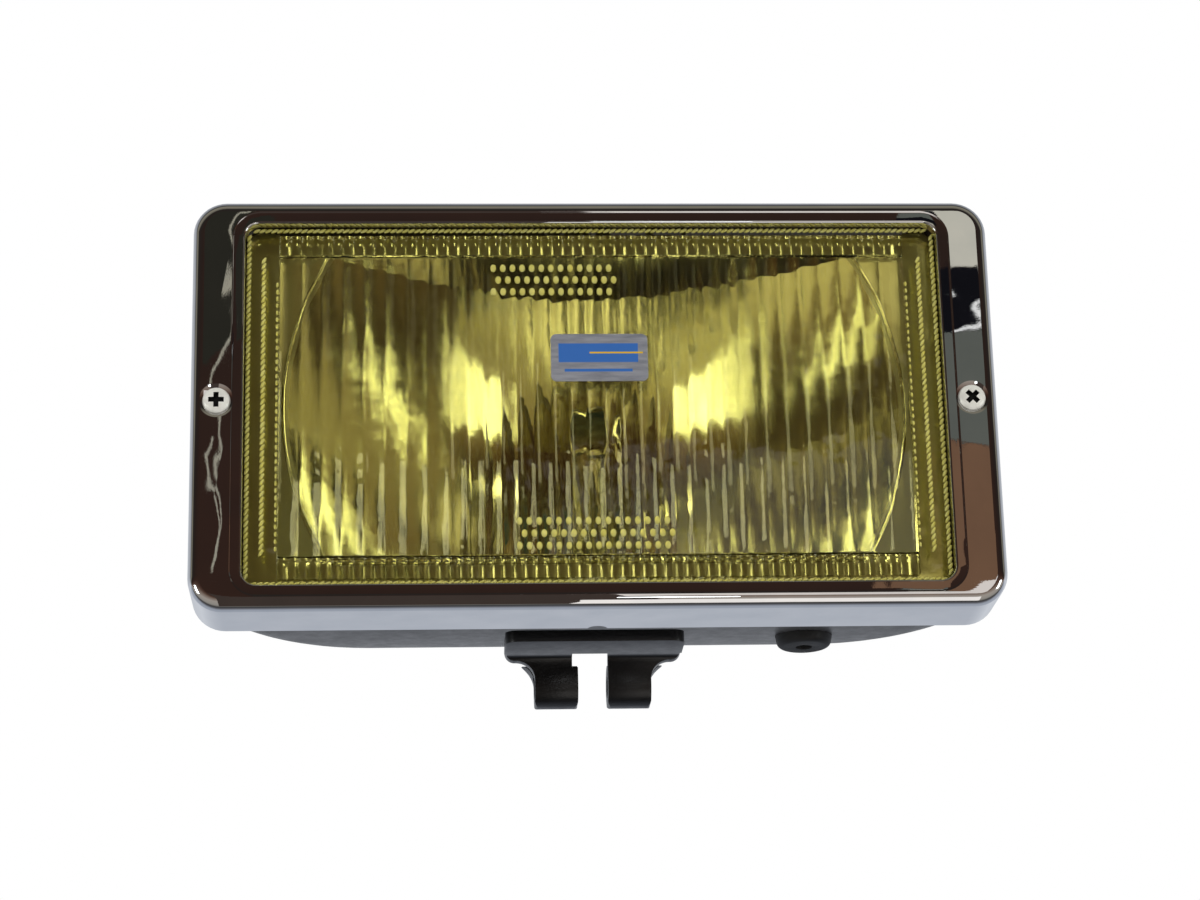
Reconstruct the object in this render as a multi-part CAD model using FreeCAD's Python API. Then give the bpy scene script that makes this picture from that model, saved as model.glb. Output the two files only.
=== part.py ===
"""Rectangular fog lamp with a chromed bezel, a fluted lens and a rolled-eye pivot bracket.

Everything is drawn about the optical axis: X to the right, Y backwards from the bezel's
face, Z up. save() then moves it so that the origin is the centre of the bracket's pivot
bore, which is where the lamp is held. All sizes are millimetres.
"""
import FreeCAD, Part
import math
import os

os.makedirs("parts", exist_ok=True)
V = FreeCAD.Vector

# ---- driving dimensions -------------------------------------------------------------
BEZEL_HALF_W = 107.5
BEZEL_HALF_H = 57.2
BEZEL_CORNER = 9.0
BEZEL_DEPTH = 22.0
BEZEL_ROLL = 3.2            # outer roll between the face and the skirt
SHEET = 1.0                 # bezel sheet
OPENING_HALF_W = 93.5
OPENING_HALF_H = 50.5
OPENING_CORNER = 4.0
LIP_BACK = 3.6              # the opening's lip ends on the lens here

LENS_HALF_W = 96.0
LENS_HALF_H = 53.0
LENS_CORNER = 6.0
LENS_BACK = 7.2
FIELD_HALF_W = 84.4         # raised, fluted part of the lens
FIELD_HALF_H = 42.4
FIELD_FACE = 2.8
CENTRE_HALF_W = 39.1        # fine flutes inside this, wide flutes outside
FINE_FLUTES = 17
WIDE_FLUTES = 8             # on each side
FLUTE_ROOT = 6.5
FLUTE_CREST = 7.2

FLANGE_FRONT = 8.7          # reflector flange, behind the lens gasket
FLANGE_BACK = 9.5
FLANGE_HALF_W = 96.4
FLANGE_HALF_H = 53.3
FOCAL = 28.0
DISH_RIM_R = 83.0
DISH_HALF_H = 43.0          # the round dish is cut off by a flat ceiling and floor
DISH_WALL = 1.0
SEAT_FRONT = 60.0           # bulb seat, a low turret in the middle of the dish
SEAT_R = 22.0
SEAT_FOOT_R = 26.0

SHELL_FRONT = 11.0
SHELL_BACK = 94.0
SHELL_BEND = 16.0           # the shell is straight up to here, inside the bezel's skirt
SHELL_HALF_W = 105.3
SHELL_HALF_H = 55.3
SHELL_CORNER = 9.0
SHELL_TAIL_HALF_W = 46.0
SHELL_TAIL_HALF_H = 24.0
SHELL_TAIL_CORNER = 44.0
SHELL_WALL = 1.2
SHELL_TURN_STEP = 10        # degrees between the lofted sections
SHELL_MOUTH_HALF_W = 85.6
SHELL_MOUTH_HALF_H = 44.7

SCREW_X = 100.6
SCREW_R = 2.0
SCREW_HEAD_R = 3.6
SCREW_FIT = 0.05

BULB_R = 5.2
FILAMENT_AHEAD = 18.0       # filament ahead of the bulb's flange
WIRE_R = 0.7                # bulb clip wire
CLIP_HINGE_Y = 63.0
CLIP_HINGE_Z = -13.2
CLIP_ARM_X = 8.0
CLIP_TOP_Z = 12.6
LEAD_R = 1.3
LEAD_ROUTE = [V(0, 69, -3.5), V(0, 69, -19), V(13, 67, -28), V(34, 59, -29)]
INSULATOR_BACK = 72.0

GROMMET_X = 57.5
GROMMET_Y = 41.0
GROMMET_BORE_R = 2.25

EYE_Y = 52.9                # pivot bore centre
EYE_Z = -65.5
EYE_BORE_R = 3.1
PLATE = 2.8                 # bracket steel
BRACKET_TOP = -55.4
BRACKET_FRONT = 31.0
BRACKET_HALF_W = 24.2
LEG_INNER = 4.1
LEG_OUTER = 15.9


# ---- drawing helpers ----------------------------------------------------------------
def save(node, shape):
    """Move a sub-part into the pivot's frame and write it."""
    moved = shape.copy()
    moved.translate(V(0, -EYE_Y, -EYE_Z))
    moved.exportStep("parts/" + node + ".step")


def outline(half_w, half_h, radius, y):
    """Rounded rectangle about the optical axis, in the plane at y."""
    a = half_w - radius
    b = half_h - radius
    k = radius * math.sqrt(0.5)
    edges = []
    for sx, sz in ((1, 1), (-1, 1), (-1, -1), (1, -1)):
        ends = [V(sx * half_w, y, sz * b), V(sx * a, y, sz * half_h)]
        if sx * sz < 0:
            ends.reverse()
        middle = V(sx * (a + k), y, sz * (b + k))
        edges.append(Part.Arc(ends[0], middle, ends[1]).toShape())
    sides = []
    for i in range(4):
        start = edges[i].Vertexes[1].Point
        end = edges[(i + 1) % 4].Vertexes[0].Point
        sides.append(edges[i])
        sides.append(Part.LineSegment(start, end).toShape())
    return Part.Wire(sides)


def slab(half_w, half_h, radius, y0, y1):
    face = Part.Face(outline(half_w, half_h, radius, y0))
    return face.extrude(V(0, y1 - y0, 0))


def frame_ring(outer, inner, y0, y1):
    """Flat ring between two rounded rectangles, each (half_w, half_h, radius)."""
    return slab(*outer, y0, y1).cut(slab(*inner, y0, y1))


def box(x0, x1, y0, y1, z0, z1):
    return Part.makeBox(x1 - x0, y1 - y0, z1 - z0, V(x0, y0, z0))


def rod(radius, start, end):
    run = end - start
    return Part.makeCylinder(radius, run.Length, start, run)


def rod_y(radius, y0, y1, x=0.0, z=0.0):
    return rod(radius, V(x, y0, z), V(x, y1, z))


def cone_y(r0, r1, y0, y1, x=0.0, z=0.0):
    return Part.makeCone(r0, r1, y1 - y0, V(x, y0, z), V(0, 1, 0))


def mirrored_pair(shape):
    """The shape and its mirror image across the lamp's middle plane."""
    return [shape, shape.mirror(V(0, 0, 0), V(1, 0, 0))]


def fuse(shapes):
    body = shapes[0]
    for extra in shapes[1:]:
        body = body.fuse(extra)
    return body.removeSplitter()


def front_edges(shape, y):
    """Edges that lie wholly in the plane at y."""
    found = []
    for edge in shape.Edges:
        low = edge.BoundBox.YMin
        high = edge.BoundBox.YMax
        if abs(low - y) < 1e-4 and abs(high - y) < 1e-4:
            found.append(edge)
    return found


def bent_rod(points, radius):
    """Round wire through points, with a ball at each bend."""
    pieces = []
    for a, b in zip(points, points[1:]):
        pieces.append(rod(radius, a, b))
    for p in points[1:-1]:
        pieces.append(Part.makeSphere(radius, p))
    return fuse(pieces)


# ---- front unit ---------------------------------------------------------------------
def bezel():
    outer = slab(BEZEL_HALF_W, BEZEL_HALF_H, BEZEL_CORNER, 0, BEZEL_DEPTH)
    outer = outer.makeFillet(BEZEL_ROLL, front_edges(outer, 0))
    hollow = slab(BEZEL_HALF_W - SHEET, BEZEL_HALF_H - SHEET, BEZEL_CORNER - SHEET, SHEET, BEZEL_DEPTH)
    hollow = hollow.makeFillet(1.5, front_edges(hollow, SHEET))
    body = outer.cut(hollow)
    lip = slab(OPENING_HALF_W + SHEET, OPENING_HALF_H + SHEET, OPENING_CORNER + SHEET, SHEET / 2, LIP_BACK)
    body = body.fuse(lip)
    body = body.cut(slab(OPENING_HALF_W, OPENING_HALF_H, OPENING_CORNER, 0, LIP_BACK))
    dish_r = 5.2
    floor_r = 4.1
    depth = 1.2
    for x in (-SCREW_X, SCREW_X):
        body = body.fuse(cone_y(dish_r + 0.3, floor_r + 0.6, SHEET, depth + SHEET, x))
        body = body.cut(cone_y(dish_r, floor_r, 0, depth, x))
        body = body.cut(rod_y(SCREW_R + 0.3, depth, depth + SHEET, x))
    body = body.removeSplitter()
    drain_notch = rod(2.6, V(0, BEZEL_DEPTH, -BEZEL_HALF_H - 2), V(0, BEZEL_DEPTH, -BEZEL_HALF_H + 4))
    return body.cut(drain_notch)


def flute_edges():
    """Crests of the lens's back face, from right to left."""
    wide = (FIELD_HALF_W - CENTRE_HALF_W) / WIDE_FLUTES
    fine = 2 * CENTRE_HALF_W / FINE_FLUTES
    widths = [wide] * WIDE_FLUTES + [fine] * FINE_FLUTES + [wide] * WIDE_FLUTES
    edges = []
    x = FIELD_HALF_W
    for width in widths:
        start = V(x, FLUTE_ROOT, -FIELD_HALF_H)
        crest = V(x - width / 2, FLUTE_CREST, -FIELD_HALF_H)
        end = V(x - width, FLUTE_ROOT, -FIELD_HALF_H)
        edges.append(Part.Arc(start, crest, end).toShape())
        x -= width
    return edges


def lens():
    corners = [V(-FIELD_HALF_W, FLUTE_ROOT, -FIELD_HALF_H), V(-FIELD_HALF_W, FIELD_FACE, -FIELD_HALF_H),
               V(FIELD_HALF_W, FIELD_FACE, -FIELD_HALF_H), V(FIELD_HALF_W, FLUTE_ROOT, -FIELD_HALF_H)]
    front = [Part.LineSegment(a, b).toShape() for a, b in zip(corners, corners[1:])]
    field = Part.Face(Part.Wire(front + flute_edges())).extrude(V(0, 0, 2 * FIELD_HALF_H))
    border = frame_ring((LENS_HALF_W, LENS_HALF_H, LENS_CORNER), (FIELD_HALF_W, FIELD_HALF_H, 0.5),
                        LIP_BACK, LENS_BACK)
    web = slab(LENS_HALF_W, LENS_HALF_H, LENS_CORNER, LIP_BACK, FLUTE_ROOT)
    return fuse([field, web, border])


def foil_label():
    width = 26.0
    height = 13.4
    thick = 0.25
    plate = slab(width / 2, height / 2, 1.6, FIELD_FACE - thick, FIELD_FACE)
    plate.translate(V(1.1, 0, 12.6))
    return plate


def lens_gasket():
    return frame_ring((LENS_HALF_W, LENS_HALF_H, LENS_CORNER), (93.4, 50.4, 3.4), LENS_BACK, FLANGE_FRONT)


def paraboloid(rim_r, rim_y, focal):
    """Solid bowl, open end at rim_y, whose apex lies behind it on the optical axis."""
    apex = rim_y + rim_r ** 2 / (4 * focal)
    steps = 8
    points = []
    for i in range(steps + 1):
        r = rim_r * i / steps
        points.append(V(r, apex - r ** 2 / (4 * focal), 0))
    curve = Part.BSplineCurve()
    curve.interpolate(points)
    centre = V(0, rim_y, 0)
    edges = [curve.toShape(), Part.LineSegment(points[-1], centre).toShape(),
             Part.LineSegment(centre, points[0]).toShape()]
    return Part.Face(Part.Wire(edges)).revolve(V(0, 0, 0), V(0, 1, 0), 360)


def cut_dish(rim_r, rim_y, focal, half_h):
    keep = box(-rim_r, rim_r, rim_y, SHELL_BACK, -half_h, half_h)
    return paraboloid(rim_r, rim_y, focal).common(keep)


def dish_outside():
    """Solid inside the reflector's back surface."""
    apex = FLANGE_FRONT + DISH_RIM_R ** 2 / (4 * FOCAL) + DISH_WALL
    rim = DISH_RIM_R + 1.2
    return cut_dish(rim, FLANGE_BACK - 0.4, rim ** 2 / (4 * (apex - FLANGE_BACK + 0.4)), DISH_HALF_H + DISH_WALL)


def reflector():
    flange = slab(FLANGE_HALF_W, FLANGE_HALF_H, LENS_CORNER, FLANGE_FRONT, FLANGE_BACK)
    inside = cut_dish(DISH_RIM_R, FLANGE_FRONT, FOCAL, DISH_HALF_H)
    foot_y = FLANGE_FRONT + DISH_RIM_R ** 2 / (4 * FOCAL) - SEAT_FOOT_R ** 2 / (4 * FOCAL)
    slope = (SEAT_FOOT_R - SEAT_R) / (foot_y - SEAT_FRONT)
    reach = 12.0
    turret = cone_y(SEAT_R, SEAT_R + slope * (foot_y + 0.6 - SEAT_FRONT), SEAT_FRONT, foot_y + 0.6)
    pocket = cone_y(SEAT_R - DISH_WALL, SEAT_R - DISH_WALL + slope * reach,
                    SEAT_FRONT + DISH_WALL, SEAT_FRONT + DISH_WALL + reach)
    body = flange.fuse(dish_outside()).cut(inside)
    body = body.fuse(turret).cut(pocket)
    return body.cut(rod_y(6.6, SEAT_FRONT - 1, SEAT_FRONT + DISH_WALL + 1)).removeSplitter()


def bulb_shield():
    wall = 0.6
    cap_r = 7.0
    cap_front = 26.5
    cap_back = 36.0
    strap_half = 2.0
    cap = rod_y(cap_r, cap_front, cap_back)
    cap = cap.makeFillet(1.6, front_edges(cap, cap_front))
    cap = cap.cut(rod_y(cap_r - wall, cap_front + wall, cap_back))
    strap = box(-strap_half, strap_half, cap_back - 4, SEAT_FRONT, -cap_r - wall, -cap_r + 0.25)
    strap = strap.cut(rod_y(cap_r - wall / 2, cap_front, cap_back))
    foot = box(-strap_half, strap_half, SEAT_FRONT - wall, SEAT_FRONT, -14.0, -cap_r - wall)
    return fuse([cap, strap, foot])


def bulb_glass():
    front = SEAT_FRONT - 27.5
    tube = rod_y(BULB_R, front + BULB_R, SEAT_FRONT - 2)
    solid = fuse([tube, Part.makeSphere(BULB_R, V(0, front + BULB_R, 0))])
    wall = 0.8
    bore = rod_y(BULB_R - wall, front + BULB_R, SEAT_FRONT - 2)
    hollow = fuse([bore, Part.makeSphere(BULB_R - wall, V(0, front + BULB_R, 0))])
    return solid.cut(hollow)


def bulb_base():
    """Metal cap with its flange seated behind the turret."""
    seat = SEAT_FRONT + DISH_WALL
    flange = rod_y(11.0, seat, seat + 1.0)
    flange = flange.cut(box(-4, 4, seat - 1, seat + 2, 9.0, 12.0))
    neck = rod_y(6.0, SEAT_FRONT - 2, seat)
    pinch = box(-3.2, 3.2, SEAT_FRONT - 6, SEAT_FRONT - 2, -1.6, 1.6)
    return fuse([flange, neck, pinch])


def bulb_filament():
    """Coil across the optical axis, on two support wires."""
    y = SEAT_FRONT + DISH_WALL - FILAMENT_AHEAD
    coil = rod(0.8, V(-2.6, y, 0), V(2.6, y, 0))
    coil.rotate(V(0, y, 0), V(1, 0, 0), 40)
    posts = [box(x - 0.25, x + 0.25, y + 0.4, SEAT_FRONT - 6, -0.25, 0.25) for x in (-2.0, 2.0)]
    return fuse([coil] + posts)


def bulb_insulator():
    seat_back = SEAT_FRONT + DISH_WALL + 1.0
    body = rod_y(6.4, seat_back, INSULATOR_BACK)
    body = body.makeFillet(1.2, front_edges(body, INSULATOR_BACK))
    return body.cut(rod(LEAD_R, LEAD_ROUTE[0], LEAD_ROUTE[0] + V(0, 0, -5)))


def lead_path():
    """Straight runs joined by tangent arcs, each as large as its runs allow."""
    edges = []
    last = LEAD_ROUTE[0]
    for a, b, c in zip(LEAD_ROUTE, LEAD_ROUTE[1:], LEAD_ROUTE[2:]):
        into = (b - a).normalize()
        away = (c - b).normalize()
        half_turn = into.getAngle(away) / 2
        tangent = 0.45 * min((b - a).Length, (c - b).Length)
        radius = tangent / math.tan(half_turn)
        print("lead bend radius", round(radius, 1))
        centre_way = (away - into).normalize()
        start = b - into * tangent
        end = b + away * tangent
        middle = b + centre_way * (radius / math.cos(half_turn) - radius)
        edges.append(Part.LineSegment(last, start).toShape())
        edges.append(Part.Arc(start, middle, end).toShape())
        last = end
    edges.append(Part.LineSegment(last, LEAD_ROUTE[-1]).toShape())
    return Part.Wire(edges)


def bulb_lead():
    path = lead_path()
    along = LEAD_ROUTE[1] - LEAD_ROUTE[0]
    section = Part.Wire(Part.makeCircle(LEAD_R, LEAD_ROUTE[0], along))
    tube = path.makePipeShell([section], True, False)
    expected = math.pi * LEAD_R ** 2 * path.Length
    print("lead length", round(path.Length, 1), "volume ratio", round(tube.Volume / expected, 4))
    return tube


def connector_parts():
    """Insulating sleeve on the lead's end, and the brass socket inside it."""
    start = LEAD_ROUTE[-1]
    way = (LEAD_ROUTE[-1] - LEAD_ROUTE[-2]).normalize()
    end = start + way * 17.0
    socket_start = start + way * 3.0
    mouth = end + way * 1.0
    sleeve = rod(3.0, start, end)
    sleeve = sleeve.cut(rod(2.4, socket_start, mouth))
    socket = rod(2.4, socket_start, start + way * 14.0).cut(rod(1.9, start + way * 5.0, mouth))
    return sleeve, socket


def lead_clip(sleeve):
    """Sheet saddle, welded to the reflector's back, that grips the connector sleeve."""
    way = (LEAD_ROUTE[-1] - LEAD_ROUTE[-2]).normalize()
    middle = LEAD_ROUTE[-1] + way * 8.0
    band = rod(3.7, middle - way * 2.5, middle + way * 2.5).cut(rod(3.0, middle - way * 4, middle + way * 4))
    foot = box(middle.x - 2.2, middle.x + 2.2, 40.0, middle.y - 2.6, middle.z - 2.0, middle.z + 2.0)
    foot = foot.cut(rod(3.0, middle - way * 9, middle + way * 9))
    return fuse([band, foot]).cut(dish_outside())


def clip_lug(x_half, z0, z1):
    """Base plate of a clip lug on the back of the bulb seat."""
    seat = SEAT_FRONT + DISH_WALL
    return box(-x_half, x_half, seat, seat + 0.8, z0, z1)


def clip_pivot():
    """Folded lug with the barrel that the clip's wire turns in."""
    half = 6.0
    barrel = rod(1.6, V(-half, CLIP_HINGE_Y, CLIP_HINGE_Z), V(half, CLIP_HINGE_Y, CLIP_HINGE_Z))
    web = box(-half, half, SEAT_FRONT + DISH_WALL, CLIP_HINGE_Y, CLIP_HINGE_Z - 1.6, CLIP_HINGE_Z - 0.9)
    bore = rod(WIRE_R + SCREW_FIT, V(-half - 1, CLIP_HINGE_Y, CLIP_HINGE_Z),
               V(half + 1, CLIP_HINGE_Y, CLIP_HINGE_Z))
    return fuse([clip_lug(half, -19.6, -12.4), barrel, web]).cut(bore)


def clip_catch():
    """Upright lug whose nose holds the clip's cross wire down."""
    half = 2.2
    low = CLIP_TOP_Z + 2.2
    high = low + 0.8
    top = CLIP_HINGE_Y + 2.4
    riser = box(-half, half, SEAT_FRONT + DISH_WALL, top, low, high)
    nose = box(-half, half, top - 1.0, top, CLIP_TOP_Z + WIRE_R + 0.4, high)
    return fuse([clip_lug(5.0, low, 19.4), riser, nose])


def clip_rivets():
    lug_back = SEAT_FRONT + DISH_WALL + 0.8
    heads = []
    for x in (-3.4, 3.4):
        for z in (-17.4, 17.6):
            heads.append(cone_y(1.3, 0.9, lug_back, lug_back + 0.7, x, z))
    return Part.makeCompound(heads)


def bulb_clip():
    """Spring wire bail: hinge bar, two arms, cross wire and a finger loop."""
    loop_x = 3.7
    loop_y = CLIP_HINGE_Y + 3.5
    loop_z = CLIP_TOP_Z + 1.0
    arm = [V(0, CLIP_HINGE_Y, CLIP_HINGE_Z), V(CLIP_ARM_X, CLIP_HINGE_Y, CLIP_HINGE_Z),
           V(CLIP_ARM_X, CLIP_HINGE_Y, 5.0), V(loop_x, CLIP_HINGE_Y, CLIP_TOP_Z),
           V(loop_x, loop_y, loop_z), V(0, loop_y, loop_z)]
    halves = mirrored_pair(bent_rod(arm, WIRE_R))
    cross = rod(WIRE_R, V(-loop_x, CLIP_HINGE_Y, CLIP_TOP_Z), V(loop_x, CLIP_HINGE_Y, CLIP_TOP_Z))
    return fuse(halves + [cross])


def bezel_screws():
    screws = []
    for side, turn in ((-1, 0.0), (1, 45.0)):
        head = rod_y(SCREW_HEAD_R, -0.8, 1.2, side * SCREW_X)
        head = head.makeFillet(1.0, front_edges(head, -0.8))
        for angle in (turn, turn + 90.0):
            slot = box(-2.1, 2.1, -1.0, 0.6, -0.45, 0.45)
            slot.rotate(V(0, 0, 0), V(0, 1, 0), angle)
            slot.translate(V(side * SCREW_X, 0, 0))
            head = head.cut(slot)
        shank = rod_y(SCREW_R, 1.2, 17.0, side * SCREW_X)
        point = cone_y(SCREW_R, 1.2, 17.0, 18.2, side * SCREW_X)
        screws.append(fuse([head, shank, point]))
    return Part.makeCompound(screws)


def screw_washers():
    """Fibre washers that keep the screws in the bezel."""
    ring = rod_y(4.4, 2.2, 3.0, SCREW_X).cut(rod_y(SCREW_R, 2.0, 3.2, SCREW_X))
    return Part.makeCompound(mirrored_pair(ring))


def retaining_clips():
    """C-shaped spring clips that clamp lens, gasket and reflector flange to the bezel."""
    thick = 0.6
    width = 12.0
    reach_back = FLANGE_BACK + thick
    clips = []
    for x in (-55.0, 55.0):
        edge = FLANGE_HALF_H + 0.6
        foot = box(x - width / 2, x + width / 2, SHEET, SHEET + thick, edge - 2.2, edge + thick)
        riser = box(x - width / 2, x + width / 2, SHEET, reach_back, edge, edge + thick)
        tongue = box(x - width / 2, x + width / 2, FLANGE_BACK, reach_back, edge - 4.0, edge + thick)
        clip = fuse([foot, riser, tongue])
        clips += [clip, clip.mirror(V(0, 0, 0), V(0, 0, 1))]
    for z in (-30.0, 30.0):
        edge = FLANGE_HALF_W + 0.6
        foot = box(edge - 2.2, edge + thick, SHEET, SHEET + thick, z - width / 2, z + width / 2)
        riser = box(edge, edge + thick, SHEET, reach_back, z - width / 2, z + width / 2)
        tongue = box(edge - 5.5, edge + thick, FLANGE_BACK, reach_back, z - width / 2, z + width / 2)
        clips += mirrored_pair(fuse([foot, riser, tongue]))
    return Part.makeCompound(clips)


# ---- housing ------------------------------------------------------------------------
def shell_section(turn, inset):
    """Half width, half height, corner and depth of the shell at a turn of 0 to 90 degrees."""
    t = math.sin(math.radians(turn))
    width = SHELL_TAIL_HALF_W + (SHELL_HALF_W - inset - SHELL_TAIL_HALF_W) * math.cos(math.radians(turn))
    height = SHELL_TAIL_HALF_H + (SHELL_HALF_H - inset - SHELL_TAIL_HALF_H) * (1 - t ** 2.4) ** (1 / 2.4)
    corner = SHELL_CORNER + (SHELL_TAIL_CORNER - SHELL_CORNER) * t
    y = SHELL_BEND + (SHELL_BACK - inset - SHELL_BEND) * t
    return outline(width, height, min(corner, height - 1.0), y)


def shell_solid(inset):
    sections = [shell_section(turn, inset) for turn in range(0, 91, SHELL_TURN_STEP)]
    bowl = Part.makeLoft(sections, True, False, False, 3)
    straight = slab(SHELL_HALF_W - inset, SHELL_HALF_H - inset, SHELL_CORNER, SHELL_FRONT, SHELL_BEND)
    return straight.fuse(bowl)


def housing_shell(outside, inside):
    mouth = slab(SHELL_MOUTH_HALF_W, SHELL_MOUTH_HALF_H, 8.0, SHELL_FRONT, SHELL_FRONT + SHELL_WALL)
    cavity = inside.cut(slab(120, 80, 1.0, 0, SHELL_FRONT + SHELL_WALL))
    body = outside.cut(cavity).cut(mouth)
    for x in (-SCREW_X, SCREW_X):
        body = body.cut(rod_y(2.6, SHELL_FRONT - 1, SHELL_FRONT + SHELL_WALL + 1, x))
    hole = rod(5.0, V(GROMMET_X, GROMMET_Y, -60), V(GROMMET_X, GROMMET_Y, -50))
    return body.cut(hole)


def housing_seal():
    return frame_ring((91.0, 49.4, 9.0), (SHELL_MOUTH_HALF_W, SHELL_MOUTH_HALF_H, 8.0), 9.8, SHELL_FRONT)


def screw_nuts():
    """Plate nuts behind the shell's front flange."""
    back = SHELL_FRONT + SHELL_WALL
    nut = box(SCREW_X - 3.2, SCREW_X + 3.2, back, back + 2.8, -4.5, 4.5)
    nut = nut.cut(rod_y(SCREW_R + SCREW_FIT, back - 1, back + 4, SCREW_X))
    return Part.makeCompound(mirrored_pair(nut))


def grommet(outside, inside):
    centre = V(GROMMET_X, GROMMET_Y, 0)
    flange = Part.makeCone(7.2, 7.8, 3.4, centre + V(0, 0, -57.8))
    rim = [edge for edge in flange.Edges if edge.BoundBox.ZMax < -57.79]
    flange = flange.makeFillet(1.8, rim).cut(outside)
    neck = rod(5.0, centre + V(0, 0, -56.5), centre + V(0, 0, -52.6))
    collar = rod(6.2, centre + V(0, 0, -55.0), centre + V(0, 0, -52.2)).common(inside)
    bore = rod(GROMMET_BORE_R, centre + V(0, 0, -60), centre + V(0, 0, -50))
    return fuse([flange, neck, collar]).cut(bore)


def bracket_side():
    """Side view of the bracket's sheet: flange, bend, leg and the rolled eye."""
    under = BRACKET_TOP - PLATE
    leg_front = EYE_Y - EYE_BORE_R - PLATE
    leg_back = EYE_Y - EYE_BORE_R
    inner_bend = 1.6
    outer_bend = inner_bend + PLATE
    bend_y = leg_front - inner_bend
    bend_z = under - inner_bend
    eye_r = EYE_BORE_R + PLATE
    roll_end = math.radians(110)
    k = math.sqrt(0.5)

    def on_eye(radius, angle):
        return V(0, EYE_Y + radius * math.cos(angle), EYE_Z + radius * math.sin(angle))

    def at(y, z):
        return V(0, y, z)

    rear = math.radians(-35)
    edges = [
        Part.LineSegment(at(BRACKET_FRONT, BRACKET_TOP), at(bend_y, BRACKET_TOP)),
        Part.Arc(at(bend_y, BRACKET_TOP), at(bend_y + k * outer_bend, bend_z + k * outer_bend),
                 at(leg_back, bend_z)),
        Part.LineSegment(at(leg_back, bend_z), at(leg_back, EYE_Z)),
        Part.Arc(at(leg_back, EYE_Z), on_eye(EYE_BORE_R, rear), on_eye(EYE_BORE_R, roll_end)),
        Part.LineSegment(on_eye(EYE_BORE_R, roll_end), on_eye(eye_r, roll_end)),
        Part.Arc(on_eye(eye_r, roll_end), on_eye(eye_r, rear), at(leg_front, EYE_Z)),
        Part.LineSegment(at(leg_front, EYE_Z), at(leg_front, bend_z)),
        Part.Arc(at(leg_front, bend_z), at(bend_y + k * inner_bend, bend_z + k * inner_bend),
                 at(bend_y, under)),
        Part.LineSegment(at(bend_y, under), at(BRACKET_FRONT, under)),
        Part.LineSegment(at(BRACKET_FRONT, under), at(BRACKET_FRONT, BRACKET_TOP)),
    ]
    return Part.Face(Part.Wire([edge.toShape() for edge in edges]))


def bracket_front(side):
    """Front view of one half of the bracket: wing, flare and leg, for side 1 or -1."""
    wing_low = -59.3
    bottom = EYE_Z - EYE_BORE_R - PLATE
    flare = 5.2
    tip = 2.8
    toe = 1.3
    k = 1 - math.sqrt(0.5)

    def at(x, z):
        return V(side * x, 20, z)

    edges = [
        Part.LineSegment(at(0, -50), at(BRACKET_HALF_W, -50)),
        Part.LineSegment(at(BRACKET_HALF_W, -50), at(BRACKET_HALF_W, wing_low + tip)),
        Part.Arc(at(BRACKET_HALF_W, wing_low + tip), at(BRACKET_HALF_W - k * tip, wing_low + k * tip),
                 at(BRACKET_HALF_W - tip, wing_low)),
        Part.LineSegment(at(BRACKET_HALF_W - tip, wing_low), at(LEG_OUTER + flare, wing_low)),
        Part.Arc(at(LEG_OUTER + flare, wing_low), at(LEG_OUTER + k * flare, wing_low - k * flare),
                 at(LEG_OUTER, wing_low - flare)),
        Part.LineSegment(at(LEG_OUTER, wing_low - flare), at(LEG_OUTER, bottom + toe)),
        Part.Arc(at(LEG_OUTER, bottom + toe), at(LEG_OUTER - k * toe, bottom + k * toe),
                 at(LEG_OUTER - toe, bottom)),
        Part.LineSegment(at(LEG_OUTER - toe, bottom), at(LEG_INNER + toe, bottom)),
        Part.Arc(at(LEG_INNER + toe, bottom), at(LEG_INNER + k * toe, bottom + k * toe),
                 at(LEG_INNER, bottom + toe)),
        Part.LineSegment(at(LEG_INNER, bottom + toe), at(LEG_INNER, -57.5)),
        Part.LineSegment(at(LEG_INNER, -57.5), at(0, -57.5)),
        Part.LineSegment(at(0, -57.5), at(0, -50)),
    ]
    return Part.Face(Part.Wire([edge.toShape() for edge in edges])).extrude(V(0, 60, 0))


def pivot_bracket(outside):
    sheet = bracket_side().extrude(V(2 * BRACKET_HALF_W, 0, 0))
    sheet.translate(V(-BRACKET_HALF_W, 0, 0))
    packing = box(-BRACKET_HALF_W, BRACKET_HALF_W, BRACKET_FRONT, 45.0, BRACKET_TOP, -53.0)
    sheet = sheet.fuse(packing)
    slot_front = 44.3
    legs = sheet.common(fuse([bracket_front(1), bracket_front(-1)]))
    flange = sheet.common(box(-30, 30, BRACKET_FRONT, slot_front, -59, -50))
    body = fuse([legs, flange])
    body = body.cut(box(-LEG_INNER, LEG_INNER, slot_front, 70, -80, -50))
    body = body.cut(box(-LEG_INNER - 1.6, -LEG_INNER, slot_front, 51.0, -61.2, -50))
    corners = Part.makeBox(2 * BRACKET_HALF_W, 40, 40, V(-BRACKET_HALF_W, BRACKET_FRONT, -80))
    corners = corners.makeFillet(3.4, [e for e in corners.Edges if is_front_corner(e)])
    return body.common(corners).cut(outside).removeSplitter()


def is_front_corner(edge):
    span = edge.BoundBox
    return span.ZLength > 30 and abs(span.YMax - BRACKET_FRONT) < 1e-4


def bracket_stiffener(inside):
    """Spreader plate spot-welded inside the shell above the bracket."""
    plate = box(-34, 34, 29, 51, -56, -52.4)
    upright = [e for e in plate.Edges if e.BoundBox.ZLength > 3]
    plate = plate.makeFillet(4.0, upright)
    return plate.common(inside)


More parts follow.
